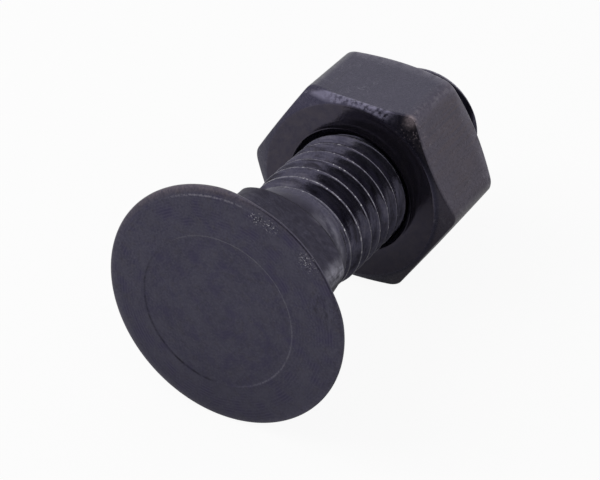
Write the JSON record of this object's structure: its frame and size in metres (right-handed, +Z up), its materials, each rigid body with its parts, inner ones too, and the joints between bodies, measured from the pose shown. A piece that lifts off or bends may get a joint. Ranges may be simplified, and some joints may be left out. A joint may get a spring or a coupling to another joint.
{
  "type": "plow bolt",
  "caption": "Flat countersunk plow bolt with a short square neck and a coarse thread, carrying a chamfered hexagon nut; clamps wearing parts with its head flush.",
  "frame": {"origin": "on the ground, under the middle of the box round the lying bolt and nut", "axes": "+X along the bolt as it lies, from the head to the threaded tip, +Y across it, +Z up"},
  "size_m": [0.0414, 0.0238, 0.0237],
  "materials": {
    "bolt_steel": "black oxide, satin, thread crests worn bright",
    "nut_steel": "black oxide, satin, worn light along the chamfers"
  },
  "bodies": {
    "bolt": {"plow_bolt": "bolt_steel"},
    "nut": {"hex_nut": "nut_steel"}
  },
  "joints": [
    {"name": "nut_run", "type": "slide", "parent": "bolt", "child": "nut", "axis": [0.9973, 0, -0.0729], "range_m": [-0.00875, 0.014]}
  ]
}
